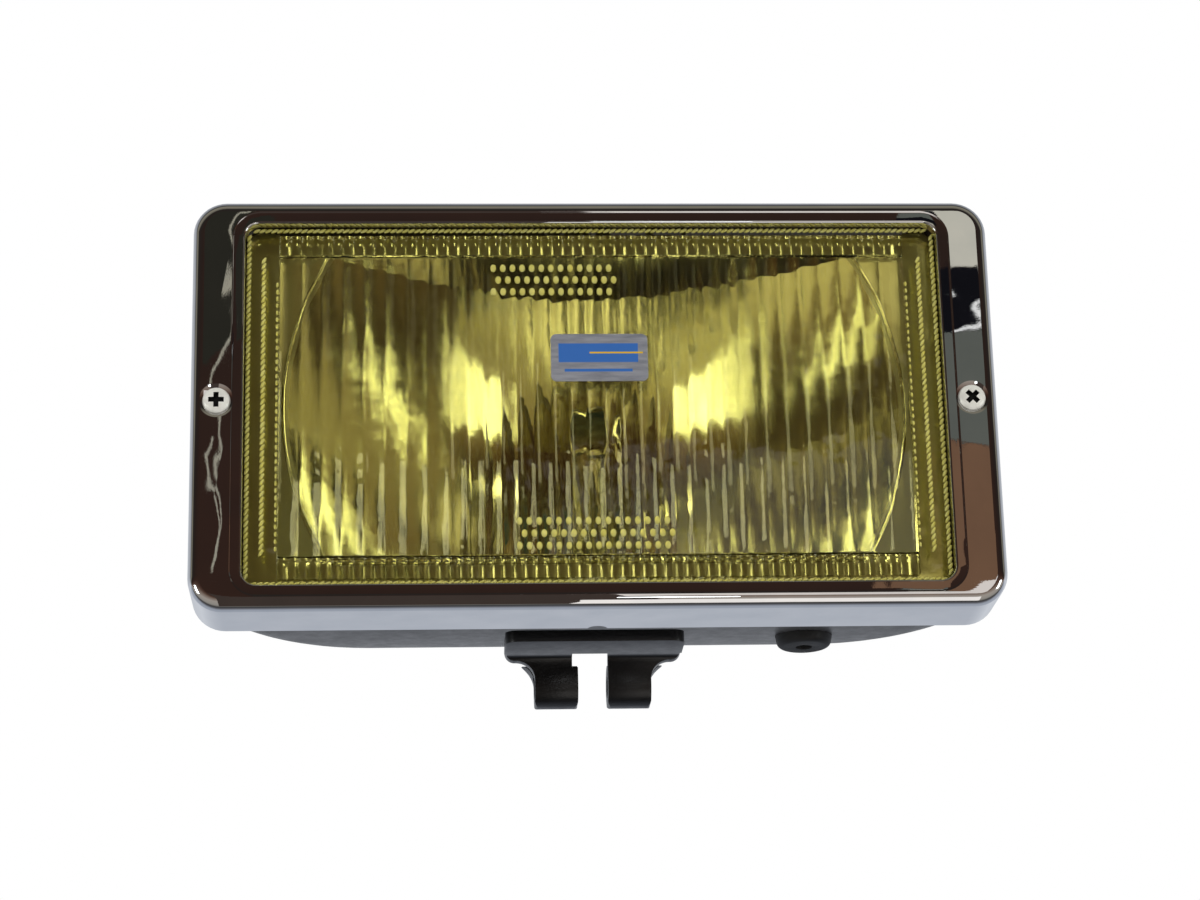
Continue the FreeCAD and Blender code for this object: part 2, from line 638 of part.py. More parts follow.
def main():
    outside = shell_solid(0.0)
    inside = shell_solid(SHELL_WALL)
    sleeve, socket = connector_parts()
    save("bezel", bezel())
    save("lens", lens())
    save("foil_label", foil_label())
    save("lens_gasket", lens_gasket())
    save("reflector", reflector())
    save("bulb_shield", bulb_shield())
    save("bulb_glass", bulb_glass())
    save("bulb_base", bulb_base())
    save("bulb_filament", bulb_filament())
    save("bulb_insulator", bulb_insulator())
    save("bulb_lead", bulb_lead())
    save("lead_connector", sleeve)
    save("lead_socket", socket)
    save("lead_clip", lead_clip(sleeve))
    save("clip_pivot", clip_pivot())
    save("clip_catch", clip_catch())
    save("clip_rivets", clip_rivets())
    save("bulb_clip", bulb_clip())
    save("bezel_screws", bezel_screws())
    save("screw_washers", screw_washers())
    save("retaining_clips", retaining_clips())
    save("housing_shell", housing_shell(outside, inside))
    save("housing_seal", housing_seal())
    save("screw_nuts", screw_nuts())
    save("grommet", grommet(outside, inside))
    save("pivot_bracket", pivot_bracket(outside))
    save("bracket_stiffener", bracket_stiffener(inside))


main()
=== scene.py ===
import bmesh
import bpy
import math
from mathutils import Matrix, Vector


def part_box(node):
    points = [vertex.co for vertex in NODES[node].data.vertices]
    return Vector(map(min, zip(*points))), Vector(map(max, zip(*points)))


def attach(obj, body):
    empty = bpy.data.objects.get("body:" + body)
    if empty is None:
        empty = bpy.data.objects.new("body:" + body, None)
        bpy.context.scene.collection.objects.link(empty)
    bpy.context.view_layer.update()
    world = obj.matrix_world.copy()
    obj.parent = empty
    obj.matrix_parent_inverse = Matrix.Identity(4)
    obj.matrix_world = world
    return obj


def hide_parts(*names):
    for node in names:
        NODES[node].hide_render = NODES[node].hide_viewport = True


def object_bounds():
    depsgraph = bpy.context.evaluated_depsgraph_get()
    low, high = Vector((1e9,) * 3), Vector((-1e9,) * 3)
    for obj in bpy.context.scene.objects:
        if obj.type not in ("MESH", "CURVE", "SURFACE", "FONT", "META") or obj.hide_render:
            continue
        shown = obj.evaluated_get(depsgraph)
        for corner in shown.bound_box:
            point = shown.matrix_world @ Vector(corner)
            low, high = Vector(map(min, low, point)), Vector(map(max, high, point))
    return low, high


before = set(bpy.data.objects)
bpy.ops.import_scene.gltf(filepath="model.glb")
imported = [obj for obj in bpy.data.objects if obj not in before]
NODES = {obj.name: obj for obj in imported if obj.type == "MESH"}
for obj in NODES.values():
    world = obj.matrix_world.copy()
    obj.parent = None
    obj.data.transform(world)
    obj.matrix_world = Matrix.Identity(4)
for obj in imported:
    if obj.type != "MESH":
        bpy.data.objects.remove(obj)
cad_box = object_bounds()

# ---- sizes, from the frame ----------------------------------------------------------
MM = 0.001
BEZEL_LOW, BEZEL_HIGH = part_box("bezel")
FACE_Y = BEZEL_LOW.y
OPTIC_Z = (BEZEL_LOW.z + BEZEL_HIGH.z) / 2
HALF_W = BEZEL_HIGH.x / MM
HALF_H = (BEZEL_HIGH.z - OPTIC_Z) / MM
SKIRT = (BEZEL_HIGH.y - FACE_Y) / MM
LENS_LOW, LENS_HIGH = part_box("lens")
LENS_HALF_W = LENS_HIGH.x / MM
LENS_HALF_H = (LENS_HIGH.z - OPTIC_Z) / MM
LENS_BACK = (LENS_HIGH.y - FACE_Y) / MM
SCREW_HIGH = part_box("bezel_screws")[1]
SCREW_FRONT = (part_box("bezel_screws")[0].y - FACE_Y) / MM
SCREW_END = (SCREW_HIGH.y - FACE_Y) / MM

# The rest are in millimetres, as in the model of the frame.
CORNER = 9.0
ROLL = 3.2
SHEET = 1.0
OPEN_HALF_W = 93.5
OPEN_HALF_H = 50.5
OPEN_CORNER = 4.0
LIP_ROLL = 0.6
LIP_BACK = 3.6
SCREW_X = 100.6
SCREW_HEAD_R = SCREW_HIGH.x / MM - SCREW_X - 0.3
FIELD_HALF_W = 84.4
FIELD_HALF_H = 42.4
CENTRE_HALF_W = 39.1
FIELD_FACE = 2.8
BEAD_PITCH = 1.6
BAND_HALF_H = OPEN_HALF_H - 2.3
WELD = 0.01


def at(x, y, z):
    """A point given in millimetres from the middle of the bezel's face, in the row frame."""
    return Vector((x * MM, FACE_Y + y * MM, OPTIC_Z + z * MM))


# ---- modelling helpers --------------------------------------------------------------
def clear_selection():
    if bpy.context.object and bpy.context.object.mode != "OBJECT":
        bpy.ops.object.mode_set(mode="OBJECT")
    bpy.ops.object.select_all(action="DESELECT")


def activate(obj):
    clear_selection()
    obj.select_set(True)
    bpy.context.view_layer.objects.active = obj


def settle(name):
    """Names the active object and moves its place into its mesh."""
    obj = bpy.context.object
    obj.name = name
    obj.data.name = name
    bpy.ops.object.transform_apply(location=True, rotation=True, scale=True)
    return obj


def edit(obj):
    activate(obj)
    bpy.ops.object.mode_set(mode="EDIT")
    bpy.ops.mesh.select_mode(type="VERT")
    bpy.ops.mesh.select_all(action="DESELECT")


def done():
    bpy.ops.object.mode_set(mode="OBJECT")
    bpy.ops.object.select_all(action="DESELECT")


def select_verts(obj, wanted):
    """Selects the given vertices of the mesh being edited."""
    wanted = set(wanted)
    mesh = bmesh.from_edit_mesh(obj.data)
    for vert in mesh.verts:
        vert.select = vert.index in wanted
    mesh.select_flush(True)
    mesh.select_flush(False)
    bmesh.update_edit_mesh(obj.data)


def outward(obj):
    """Points all faces outwards."""
    edit(obj)
    bpy.ops.mesh.select_all(action="SELECT")
    bpy.ops.mesh.normals_make_consistent(inside=False)
    done()


def smooth(obj, degrees=35):
    activate(obj)
    bpy.ops.object.shade_smooth_by_angle(angle=math.radians(degrees))
    clear_selection()


def apply_modifier(obj, kind, **settings):
    activate(obj)
    modifier = obj.modifiers.new(kind.lower(), kind)
    for key, value in settings.items():
        setattr(modifier, key, value)
    bpy.ops.object.modifier_apply(modifier=modifier.name)
    clear_selection()


def boolean(obj, cutter, operation="DIFFERENCE"):
    """Cuts or joins with another solid, which is then deleted."""
    apply_modifier(obj, "BOOLEAN", object=cutter, operation=operation, solver="EXACT",
                   material_mode="TRANSFER")
    bpy.data.objects.remove(cutter)


def join(name, parts):
    clear_selection()
    for part in parts:
        part.select_set(True)
    bpy.context.view_layer.objects.active = parts[0]
    bpy.ops.object.join()
    return settle(name)


def loft(name, rings, steps):
    """Closed skin over rounded rectangles, each (half width, half height, corner radius, depth)."""
    spread = 2.0
    clear_selection()
    bpy.ops.mesh.primitive_plane_add(size=1, location=at(0, rings[0][3], 0), rotation=(math.pi / 2, 0, 0))
    obj = settle(name)
    edit(obj)
    bpy.ops.mesh.select_all(action="SELECT")
    bpy.ops.mesh.delete(type="VERT")
    # Rings start apart, so that none shares a plane with the one it is bridged to.
    for k, (half_w, half_h, radius, depth) in enumerate(rings):
        centre = at(0, depth + k * spread, 0)
        bpy.ops.mesh.primitive_plane_add(size=1, location=centre, rotation=(math.pi / 2, 0, 0))
        bpy.ops.transform.resize(value=(2 * half_w * MM, 1, 2 * half_h * MM), center_override=centre)
        bpy.ops.mesh.bevel(offset=radius * MM, segments=steps, affect="VERTICES")
        bpy.ops.mesh.delete(type="ONLY_FACE")
        bpy.ops.mesh.select_all(action="DESELECT")
    count = 4 * (steps + 1)
    last = len(rings) - 1
    for k in range(last):
        select_verts(obj, range(k * count, (k + 2) * count))
        bpy.ops.mesh.bridge_edge_loops()
    select_verts(obj, [*range(count), *range(last * count, (last + 1) * count)])
    bpy.ops.mesh.bridge_edge_loops()
    for k in range(len(rings)):
        select_verts(obj, range(k * count, (k + 1) * count))
        bpy.ops.transform.translate(value=(0, -k * spread * MM, 0))
    done()
    outward(obj)
    return obj


def turned(name, start, axis, profile, segments=48):
    """Lathe work: a disc at start, then (distance, radius) steps along the axis."""
    clear_selection()
    axis = Vector(axis).normalized()
    turn = Vector((0, 0, 1)).rotation_difference(axis)
    distance, radius = profile[0]
    centre = Vector(start) + axis * distance * MM
    bpy.ops.mesh.primitive_circle_add(vertices=segments, radius=radius * MM, fill_type="NGON",
                                      location=centre, rotation=turn.to_euler())
    obj = settle(name)
    edit(obj)
    bpy.ops.mesh.select_all(action="SELECT")
    for next_distance, next_radius in profile[1:]:
        step = axis * (next_distance - distance) * MM
        centre = centre + step
        grow = next_radius / radius
        bpy.ops.mesh.extrude_region_move(TRANSFORM_OT_translate={"value": step})
        bpy.ops.transform.resize(value=(grow, grow, grow), center_override=centre)
        distance = next_distance
        radius = next_radius
    done()
    outward(obj)
    return obj


def repeat(obj, count, step):
    """Copies the piece in a row, joined into one mesh."""
    apply_modifier(obj, "ARRAY", count=count, use_relative_offset=False, use_constant_offset=True,
                   constant_offset_displace=step)


def dress(obj, material, body):
    obj.data.materials.clear()
    obj.data.materials.append(material)
    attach(obj, body)
    return obj


# ---- materials ----------------------------------------------------------------------
def material(name, **values):
    """A material whose shader has these plain values; returns it with its node tree."""
    mat = bpy.data.materials.new(name)
    mat.use_nodes = True
    shader = mat.node_tree.nodes["Principled BSDF"]
    for key, value in values.items():
        shader.inputs[key.replace("_", " ")].default_value = value
    return mat, mat.node_tree, shader


def node(tree, kind, **values):
    made = tree.nodes.new(kind)
    for key, value in values.items():
        if hasattr(made, key):
            setattr(made, key, value)
        else:
            made.inputs[key.replace("_", " ")].default_value = value
    return made


def wire(tree, source, output, target, socket):
    tree.links.new(source.outputs[output], target.inputs[socket])


def noise(tree, scale, detail=4.0, roughness=0.55, stretch=(1, 1, 1)):
    """Noise over the piece in metres, with an optional stretch."""
    place = node(tree, "ShaderNodeTexCoord")
    fit = node(tree, "ShaderNodeMapping")
    fit.inputs["Scale"].default_value = stretch
    grain = node(tree, "ShaderNodeTexNoise", Scale=scale, Detail=detail, Roughness=roughness)
    wire(tree, place, "Object", fit, "Vector")
    wire(tree, fit, "Vector", grain, "Vector")
    return grain


def ramp(tree, source, output, stops):
    band = node(tree, "ShaderNodeValToRGB")
    elements = band.color_ramp.elements
    while len(elements) < len(stops):
        elements.new(0.5)
    for element, (place, colour) in zip(elements, stops):
        element.position = place
        element.color = (*colour, 1) if len(colour) == 3 else colour
    wire(tree, source, output, band, "Fac")
    return band


def bump(tree, shader, source, output, strength, distance, before=None):
    relief = node(tree, "ShaderNodeBump", Strength=strength, Distance=distance)
    wire(tree, source, output, relief, "Height")
    if before:
        wire(tree, before, "Normal", relief, "Normal")
    wire(tree, relief, "Normal", shader, "Normal")
    return relief


def grey(value):
    return (value, value, value)


def chrome_material():
    mat, tree, shader = material("bright chrome", Metallic=1.0)
    stain = noise(tree, 90, 3)
    tint = ramp(tree, stain, "Fac", [(0.3, (0.80, 0.81, 0.83)), (0.7, (0.88, 0.88, 0.89))])
    haze = noise(tree, 700, 5, 0.6)
    rough = ramp(tree, haze, "Fac", [(0.35, grey(0.006)), (0.75, grey(0.018))])
    wave = noise(tree, 42, 1.5, 0.4)
    fine = noise(tree, 2600, 2)
    first = bump(tree, shader, wave, "Fac", 0.15, 0.002)
    bump(tree, shader, fine, "Fac", 0.002, 0.0002, first)
    wire(tree, tint, "Color", shader, "Base Color")
    wire(tree, rough, "Color", shader, "Roughness")
    return mat


def lens_material():
    mat, tree, shader = material("yellow moulded glass", Roughness=0.02, IOR=1.5, Transmission_Weight=1.0)
    cloud = noise(tree, 40, 3)
    tint = ramp(tree, cloud, "Fac", [(0.3, (0.935, 0.895, 0.44)), (0.7, (0.96, 0.925, 0.50))])
    swirl = noise(tree, 95, 2, 0.4)
    wave = noise(tree, 210, 3, 0.5, (1.0, 1.0, 0.35))
    first = bump(tree, shader, swirl, "Fac", 0.16, 0.0025)
    bump(tree, shader, wave, "Fac", 0.10, 0.0012, first)
    wire(tree, tint, "Color", shader, "Base Color")
    return mat


def bead_material():
    """The lens's glass where it is moulded rough: it holds more of the light."""
    mat, tree, shader = material("yellow moulded beads", Roughness=0.12, IOR=1.5, Transmission_Weight=0.55)
    cloud = noise(tree, 260, 3)
    tint = ramp(tree, cloud, "Fac", [(0.3, (0.78, 0.70, 0.14)), (0.7, (0.93, 0.87, 0.28))])
    pit = noise(tree, 1800, 3)
    bump(tree, shader, pit, "Fac", 0.15, 0.0002)
    wire(tree, tint, "Color", shader, "Base Color")
    return mat


def mirror_material():
    """Bright film in the dish, on a flange that the film leaves duller."""
    mat, tree, shader = material("aluminised reflector", Metallic=1.0)
    stain = noise(tree, 60, 4)
    tint = ramp(tree, stain, "Fac", [(0.3, (0.88, 0.88, 0.85)), (0.8, (0.95, 0.95, 0.93))])
    haze = noise(tree, 400, 4)
    rough = ramp(tree, haze, "Fac", [(0.3, grey(0.09)), (0.8, grey(0.16))])
    flange_back = 10.2
    flange = mask(tree, FACE_Y, FACE_Y + flange_back * MM, "Y")
    extra_roughness = 0.05
    dull = node(tree, "ShaderNodeMath", operation="MULTIPLY_ADD")
    wire(tree, flange, 0, dull, 0)
    dull.inputs[1].default_value = extra_roughness
    wire(tree, rough, "Color", dull, 2)
    extra_metal = -0.3
    film = node(tree, "ShaderNodeMath", operation="MULTIPLY_ADD")
    wire(tree, flange, 0, film, 0)
    film.inputs[1].default_value = extra_metal
    film.inputs[2].default_value = 1.0
    wave = noise(tree, 70, 2)
    bump(tree, shader, wave, "Fac", 0.15, 0.001)
    wire(tree, tint, "Color", shader, "Base Color")
    wire(tree, dull, 0, shader, "Roughness")
    wire(tree, film, 0, shader, "Metallic")
    return mat


def paint_material(name, dark, light, rough_low, rough_high, coat):
    """Sprayed enamel: faint colour change, orange peel and rubbed patches."""
    mat, tree, shader = material(name, Coat_Weight=coat, Coat_Roughness=0.25)
    cloud = noise(tree, 55, 5)
    tint = ramp(tree, cloud, "Fac", [(0.3, dark), (0.72, light)])
    rub = noise(tree, 220, 6, 0.65)
    rough = ramp(tree, rub, "Fac", [(0.3, grey(rough_low)), (0.75, grey(rough_high))])
    peel = noise(tree, 1500, 2)
    speck = noise(tree, 5200, 1)
    first = bump(tree, shader, peel, "Fac", 0.14, 0.0004)
    bump(tree, shader, speck, "Fac", 0.05, 0.0001, first)
    wire(tree, tint, "Color", shader, "Base Color")
    wire(tree, rough, "Color", shader, "Roughness")
    return mat


def rubber_material():
    mat, tree, shader = material("moulded rubber")
    cloud = noise(tree, 120, 5)
    tint = ramp(tree, cloud, "Fac", [(0.3, (0.003, 0.003, 0.003)), (0.75, (0.010, 0.010, 0.010))])
    rough = ramp(tree, cloud, "Fac", [(0.3, grey(0.5)), (0.8, grey(0.72))])
    grain = noise(tree, 3800, 3)
    bump(tree, shader, grain, "Fac", 0.25, 0.0002)
    wire(tree, tint, "Color", shader, "Base Color")
    wire(tree, rough, "Color", shader, "Roughness")
    return mat


def plated_material(name, dark, light, rough_low=0.22, rough_high=0.42, stretch=(1, 1, 1)):
    """Plated steel: small crystals, fine draw lines and dull patches."""
    mat, tree, shader = material(name, Metallic=1.0)
    cloud = noise(tree, 420, 5, 0.6, stretch)
    tint = ramp(tree, cloud, "Fac", [(0.3, dark), (0.7, light)])
    rough = ramp(tree, cloud, "Fac", [(0.3, grey(rough_low)), (0.75, grey(rough_high))])
    line = noise(tree, 2400, 3, 0.5, stretch)
    bump(tree, shader, line, "Fac", 0.12, 0.0001)
    wire(tree, tint, "Color", shader, "Base Color")
    wire(tree, rough, "Color", shader, "Roughness")
    return mat


def plain_material(name, dark, light, rough, scale=300, relief=0.15):
    """Fired, moulded or drawn non-metal with a fine grain."""
    mat, tree, shader = material(name, Roughness=rough)
    cloud = noise(tree, scale, 5)
    tint = ramp(tree, cloud, "Fac", [(0.3, dark), (0.72, light)])
    grain = noise(tree, scale * 8, 3)
    bump(tree, shader, grain, "Fac", relief, 0.0001)
    wire(tree, tint, "Color", shader, "Base Color")
    return mat


def quartz_material():
    mat, tree, shader = material("clear quartz", Roughness=0.0, IOR=1.46, Transmission_Weight=1.0)
    cloud = noise(tree, 200, 2)
    tint = ramp(tree, cloud, "Fac", [(0.3, grey(0.97)), (0.8, grey(1.0))])
    bump(tree, shader, cloud, "Fac", 0.05, 0.0002)
    wire(tree, tint, "Color", shader, "Base Color")
    return mat


def mask(tree, low, high, axis):
    """1 between low and high along an axis of the piece, in metres, with a soft edge."""
    place = node(tree, "ShaderNodeTexCoord")
    split = node(tree, "ShaderNodeSeparateXYZ")
    wire(tree, place, "Object", split, "Vector")
    soft = 0.08 * MM
    up = node(tree, "ShaderNodeMapRange", From_Min=low - soft, From_Max=low + soft)
    down = node(tree, "ShaderNodeMapRange", From_Min=high + soft, From_Max=high - soft)
    both = node(tree, "ShaderNodeMath", operation="MULTIPLY")
    wire(tree, split, axis, up, "Value")
    wire(tree, split, axis, down, "Value")
    wire(tree, up, "Result", both, 0)
    wire(tree, down, "Result", both, 1)
    return both


def label_material(low, high):
    """Brushed foil with a printed blue band, a thin blue line and a thin yellow line."""
    mat, tree, shader = material("printed foil", Metallic=0.55)
    width = high.x - low.x
    height = high.z - low.z
    brush = noise(tree, 900, 4, 0.6, (0.15, 1, 1))
    foil = ramp(tree, brush, "Fac", [(0.3, (0.25, 0.26, 0.29)), (0.75, (0.42, 0.43, 0.47))])
    rough = ramp(tree, brush, "Fac", [(0.3, grey(0.3)), (0.8, grey(0.5))])
    blue = (0.055, 0.20, 0.62)
    yellow = (0.95, 0.62, 0.03)
    # Each band: its ink, then left, right, bottom and top as parts of the label's size.
    bands = [(blue, 0.08, 0.90, 0.40, 0.80), (blue, 0.14, 0.84, 0.20, 0.26),
             (yellow, 0.40, 0.95, 0.585, 0.62)]
    mix_under = 6
    mix_over = 7
    mix_result = 2
    colour = foil.outputs["Color"]
    for ink, left, right, bottom, top in bands:
        across = mask(tree, low.x + left * width, low.x + right * width, "X")
        upward = mask(tree, low.z + bottom * height, low.z + top * height, "Z")
        area = node(tree, "ShaderNodeMath", operation="MULTIPLY")
        wire(tree, across, 0, area, 0)
        wire(tree, upward, 0, area, 1)
        mix = node(tree, "ShaderNodeMix", data_type="RGBA")
        wire(tree, area, 0, mix, "Factor")
        tree.links.new(colour, mix.inputs[mix_under])
        mix.inputs[mix_over].default_value = (*ink, 1)
        colour = mix.outputs[mix_result]
    tree.links.new(colour, shader.inputs["Base Color"])
    wire(tree, rough, "Color", shader, "Roughness")
    bump(tree, shader, brush, "Fac", 0.1, 0.0001)
    return mat


# ---- pieces -------------------------------------------------------------------------
def outer_ring(inset, depth):
    return (HALF_W - inset, HALF_H - inset, CORNER - inset, depth)


def inner_ring(outset, depth):
    return (OPEN_HALF_W + outset, OPEN_HALF_H + outset, OPEN_CORNER + outset, depth)


def quarter(steps):
    """Sine and cosine over a quarter turn, both ends included."""
    angles = [math.pi / 2 * k / steps for k in range(steps + 1)]
    return [(math.sin(a), math.cos(a)) for a in angles]


def make_bezel(chrome):
    """Pressed shell with a rolled edge, a stepped rim, a lip round the lens and two screw dishes."""
    hem = 0.35
    rings = [outer_ring(hem * 0.3, SKIRT), outer_ring(0, SKIRT - hem)]
    rings += [outer_ring(ROLL * (1 - c), ROLL * (1 - s)) for s, c in quarter(8)]
    rim_step = 0.12
    rings += [inner_ring(3.4, 0), inner_ring(3.1, rim_step * 0.3), inner_ring(2.8, rim_step)]
    rings += [inner_ring(LIP_ROLL * (1 - s), rim_step + LIP_ROLL * (1 - c)) for s, c in quarter(6)]
    lip_bend = 0.3
    rings += [inner_ring(0, LIP_BACK - lip_bend), inner_ring(0.25, LIP_BACK), inner_ring(0.8, LIP_BACK),
              inner_ring(SHEET, LIP_BACK - lip_bend)]
    inner_roll = 0.4
    rings += [inner_ring(SHEET + inner_roll * (1 - c), rim_step + SHEET + inner_roll * (1 - s))
              for s, c in quarter(3)]
    back_roll = ROLL - SHEET
    rings += [outer_ring(SHEET + back_roll * (1 - s), SHEET + back_roll * (1 - c)) for s, c in quarter(4)]
    rings += [outer_ring(SHEET, SKIRT - hem), outer_ring(SHEET * 0.7, SKIRT)]
    bezel = loft("bezel_shell", rings, steps=10)
    dish_r = 4.7
    depth = 0.9
    ball_r = (dish_r ** 2 + depth ** 2) / (2 * depth)
    hole_r = 2.3
    for side in (-1, 1):
        boss = turned("boss", at(side * SCREW_X, 0, 0), (0, 1, 0),
                      [(SHEET - 0.2, dish_r + 0.6), (depth + SHEET, 4.4)])
        boolean(bezel, boss, "UNION")
        clear_selection()
        bpy.ops.mesh.primitive_uv_sphere_add(segments=96, ring_count=64, radius=ball_r * MM,
                                             location=at(side * SCREW_X, depth - ball_r, 0),
                                             rotation=(math.pi / 2, 0, 0))
        boolean(bezel, settle("dish"))
        hole = turned("hole", at(side * SCREW_X, 0, 0), (0, 1, 0), [(0.2, hole_r), (4.0, hole_r)])
        boolean(bezel, hole)
    drain_r = 2.6
    drain = turned("drain", at(0, SKIRT, -HALF_H - 2), (0, 0, 1), [(0, drain_r), (6, drain_r)])
    boolean(bezel, drain)
    smooth(bezel, 18)
    apply_modifier(bezel, "WEIGHTED_NORMAL", keep_sharp=True, weight=100)
    dress(bezel, chrome, "front_unit")
    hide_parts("bezel")
    return bezel


def fluted_strip(name, x0, x1, count, root, crest, z0, z1, facets=8):
    """Row of shallow rounded flutes, open strip, running up from z0 to z1."""
    width = (x1 - x0) / count
    rise = crest - root
    radius = (width ** 2 / 4 + rise ** 2) / (2 * abs(rise))
    half_angle = math.asin(width / 2 / radius)
    sign = 1 if rise > 0 else -1
    clear_selection()
    bpy.ops.mesh.primitive_grid_add(x_subdivisions=facets, y_subdivisions=1, size=1,
                                    location=at(x0 + width / 2, root, (z0 + z1) / 2),
                                    rotation=(math.pi / 2, 0, 0))
    strip = bpy.context.object
    strip.scale = (width * MM, (z1 - z0) * MM, 1)
    strip = settle(name)
    edit(strip)
    mesh = bmesh.from_edit_mesh(strip.data)
    for vert in mesh.verts:
        across = vert.co.x - (x0 + width / 2) * MM
        sag = math.sqrt((radius * MM) ** 2 - across ** 2) - radius * MM * math.cos(half_angle)
        vert.co.y += sign * sag
    bmesh.update_edit_mesh(strip.data)
    done()
    repeat(strip, count, (width * MM, 0, 0))
    return strip


def make_field(glass):
    """Raised middle of the lens: flat front, flutes behind in three zones."""
    root = 6.85
    wide_count = 8
    fine_count = 17
    zones = [(-FIELD_HALF_W, -CENTRE_HALF_W, wide_count), (-CENTRE_HALF_W, CENTRE_HALF_W, fine_count),
             (CENTRE_HALF_W, FIELD_HALF_W, wide_count)]
    strips = []
    for x0, x1, count in zones:
        strips.append(fluted_strip("zone", x0, x1, count, root, LENS_BACK, -FIELD_HALF_H, FIELD_HALF_H))
    field = join("lens_field", strips)
    edit(field)
    bpy.ops.mesh.select_all(action="SELECT")
    bpy.ops.mesh.remove_doubles(threshold=WELD * MM)
    bpy.ops.mesh.extrude_region_move(
        TRANSFORM_OT_translate={"value": (0, (FIELD_FACE - root) * MM, 0)})
    bpy.ops.transform.resize(value=(1, 0, 1), center_override=at(0, FIELD_FACE, 0))
    done()
    outward(field)
    apply_modifier(field, "BEVEL", width=0.5 * MM, segments=3, limit_method="ANGLE",
                   angle_limit=math.radians(60))
    smooth(field, 30)
    dress(field, glass, "front_unit")
    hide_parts("lens")
    return field


def make_border(glass):
    """Frame of the lens round the raised field and its ribbed bands."""
    gap = 0.06
    face = LIP_BACK
    hole = (FIELD_HALF_W + gap, BAND_HALF_H + gap, 0.3)
    rim = (LENS_HALF_W, LENS_HALF_H, 6.0)
    edge = (LENS_HALF_W - 0.5, LENS_HALF_H - 0.5, 5.5)
    rings = [(*hole, face + 0.1), (hole[0] + 0.3, hole[1] + 0.3, 0.5, face), (*edge, face),
             (*rim, face + 0.5), (*rim, LENS_BACK - 0.5), (*edge, LENS_BACK), (*hole, LENS_BACK)]
    border = loft("lens_border", rings, steps=6)
    smooth(border, 30)
    dress(border, glass, "front_unit")
    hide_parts("lens")
    return border


def make_bands(glass):
    """Ribbed bars of the lens above and below the raised field."""
    gap = 0.06
    count = 60
    rib_height = 0.75
    made = []
    for name, z0, z1 in (("lens_band_top", FIELD_HALF_H + gap, BAND_HALF_H),
                         ("lens_band_bottom", -BAND_HALF_H, -FIELD_HALF_H - gap)):
        band = fluted_strip(name, -FIELD_HALF_W, FIELD_HALF_W, count, LIP_BACK + rib_height, LIP_BACK,
                            z0, z1, 6)
        edit(band)
        bpy.ops.mesh.select_all(action="SELECT")
        bpy.ops.mesh.remove_doubles(threshold=WELD * MM)
        bpy.ops.mesh.extrude_region_move(TRANSFORM_OT_translate={"value": (0, 3 * MM, 0)})
        bpy.ops.transform.resize(value=(1, 0, 1), center_override=at(0, LENS_BACK, 0))
        done()
        outward(band)
        smooth(band, 30)
        dress(band, glass, "front_unit")
        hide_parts("lens")
        made.append(band)
    return made


def make_dots(glass):
    """Rows of small raised dots at the middle of the lens's upper and lower edge."""
    pitch = 2.6
    drop = 3.4
    rows = []
    for x0, x1, z0 in ((-27.0, 8.0, 38.4), (-21.0, 21.0, -33.0)):
        count = int((x1 - x0) / pitch)
        for line in range(3):
            clear_selection()
            place = at(x0 + pitch / 2 * (line % 2), FIELD_FACE + 0.1, z0 - line * drop)
            bpy.ops.mesh.primitive_uv_sphere_add(segments=10, ring_count=6, radius=MM, location=place)
            dot = bpy.context.object
            dot.scale = (0.85, 0.5, 1.15)
            dot = settle("dot")
            repeat(dot, count, (pitch * MM, 0, 0))
            rows.append(dot)
    dots = join("lens_dots", rows)
    smooth(dots, 60)
    dress(dots, glass, "front_unit")
    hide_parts("lens")
    return dots


def rope(name, start, step, count, size, lean=0.0):
    """Row of glass beads, like a twisted cord where they lean."""
    clear_selection()
    bpy.ops.mesh.primitive_uv_sphere_add(segments=8, ring_count=6, radius=MM, location=start)
    bead = bpy.context.object
    bead.scale = size
    bead.rotation_euler = (0, lean, 0)
    bead = settle(name)
    repeat(bead, count, step)
    return bead


def make_ropes(glass):
    """Beaded edge round the lens, and a second rope and a chain of beads along each side."""
    face = LIP_BACK + 0.1
    inset = 0.9
    x = OPEN_HALF_W - inset
    z = OPEN_HALF_H - inset
    corner = 2
    across = int(2 * (x - corner) / BEAD_PITCH)
    upward = int(2 * (z - corner) / BEAD_PITCH)
    step_x = (2 * (x - corner) / across * MM, 0, 0)
    step_z = (0, 0, 2 * (z - corner) / upward * MM)
    inner_x = 88.6
    inner_half = 41
    inner_count = int(2 * inner_half / BEAD_PITCH)
    inner_step = (0, 0, 2 * inner_half / inner_count * MM)
    chain_x = 84.9
    chain_low = -40
    chain_step = (0, 0, 2 * MM)
    bead = (0.5, 0.55, 1.15)
    link = (0.45, 0.35, 0.75)
    flat_lean = 1.1
    steep_lean = 0.5
    rows = []
    for side in (-1, 1):
        rows.append(rope("edge_x", at(corner - x, face, side * z), step_x, across + 1, bead, flat_lean))
        rows.append(rope("edge_z", at(side * x, face, corner - z), step_z, upward + 1, bead, steep_lean))
        rows.append(rope("inner", at(side * inner_x, face, -inner_half), inner_step, inner_count + 1,
                         bead, steep_lean))
        rows.append(rope("chain", at(side * chain_x, face, chain_low), chain_step, 38, link))
    ropes = join("lens_ropes", rows)
    smooth(ropes, 60)
    dress(ropes, glass, "front_unit")
    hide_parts("lens")
    return ropes


